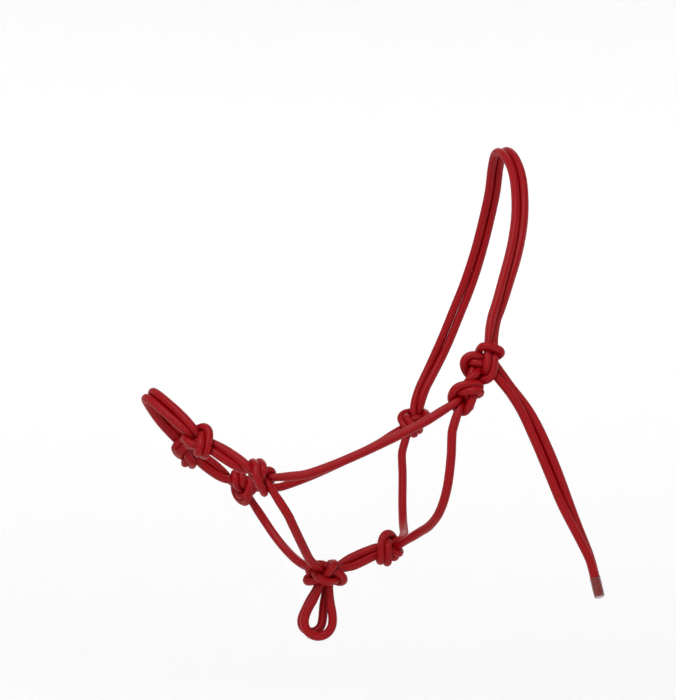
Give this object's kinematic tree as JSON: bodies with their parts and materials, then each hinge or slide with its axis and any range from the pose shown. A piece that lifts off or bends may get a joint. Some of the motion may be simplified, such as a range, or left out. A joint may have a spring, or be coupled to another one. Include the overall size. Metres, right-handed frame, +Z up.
{
  "type": "knotted rope halter",
  "caption": "Knotted rope horse halter in its worn shape: doubled noseband and crown, cheek, chin and throat ropes, a fiador knot with lead loops, and a side hitch with hanging tails.",
  "frame": {"origin": "the point on the horse's poll that the crown rope lies on, in the plane of symmetry", "axes": "+Z up, -X towards the horse's nose, -Y towards the horse's left, where the halter is tied"},
  "size_m": [0.4007, 0.2145, 0.4668],
  "materials": {
    "rope": "tightly braided rope with a satin sheen",
    "sleeve": "shrunk clear tubing, brownish over the rope ends"
  },
  "bodies": {
    "crown": {"crown_rear_rope": "rope", "crown_front_rope": "rope", "tie_knot": "rope", "tie_loop_inner_leg": "rope", "tie_loop_outer_leg": "rope", "cheek_knot_left": "rope", "cheek_knot_right": "rope"},
    "jaw_frame": {"cheek_rope_left": "rope", "cheek_rope_right": "rope", "side_knot_left": "rope", "side_knot_right": "rope", "chin_rope_left": "rope", "chin_rope_right": "rope", "fiador_knot": "rope", "jaw_upper_rope": "rope", "jaw_lower_rope": "rope", "throat_knot": "rope", "throatlatch_rope_left": "rope", "throatlatch_rope_right": "rope"},
    "noseband": {"noseband_upper_rope": "rope", "noseband_lower_rope": "rope", "nose_knot_left": "rope", "nose_knot_right": "rope", "nose_to_side_upper_rope_left": "rope", "nose_to_side_lower_rope_left": "rope", "nose_to_side_upper_rope_right": "rope", "nose_to_side_lower_rope_right": "rope"},
    "lead_loop_left": {"lead_loop_left": "rope"},
    "lead_loop_right": {"lead_loop_right": "rope"},
    "tails": {"tail_rear_rope": "rope", "tail_front_rope": "rope", "tail_sleeve": "sleeve"}
  },
  "joints": [
    {"name": "jaw_frame_lift", "type": "hinge", "parent": "crown", "child": "jaw_frame", "pos_m": [-0.066, 0, -0.243], "axis": [0, 1, 0], "range_deg": [0, 22]},
    {"name": "noseband_lift", "type": "hinge", "parent": "jaw_frame", "child": "noseband", "pos_m": [-0.233, 0, -0.321], "axis": [0, 1, 0], "range_deg": [0, 28]},
    {"name": "lead_loop_left_swing", "type": "hinge", "parent": "jaw_frame", "child": "lead_loop_left", "pos_m": [-0.166, 0, -0.399], "axis": [0, 1, 0], "range_deg": [-35, 35]},
    {"name": "lead_loop_right_swing", "type": "hinge", "parent": "jaw_frame", "child": "lead_loop_right", "pos_m": [-0.166, 0, -0.399], "axis": [0, 1, 0], "range_deg": [-35, 35]},
    {"name": "tails_swing", "type": "hinge", "parent": "crown", "child": "tails", "pos_m": [-0.043, -0.093, -0.211], "axis": [0, 1, 0], "range_deg": [-25, 26]}
  ]
}
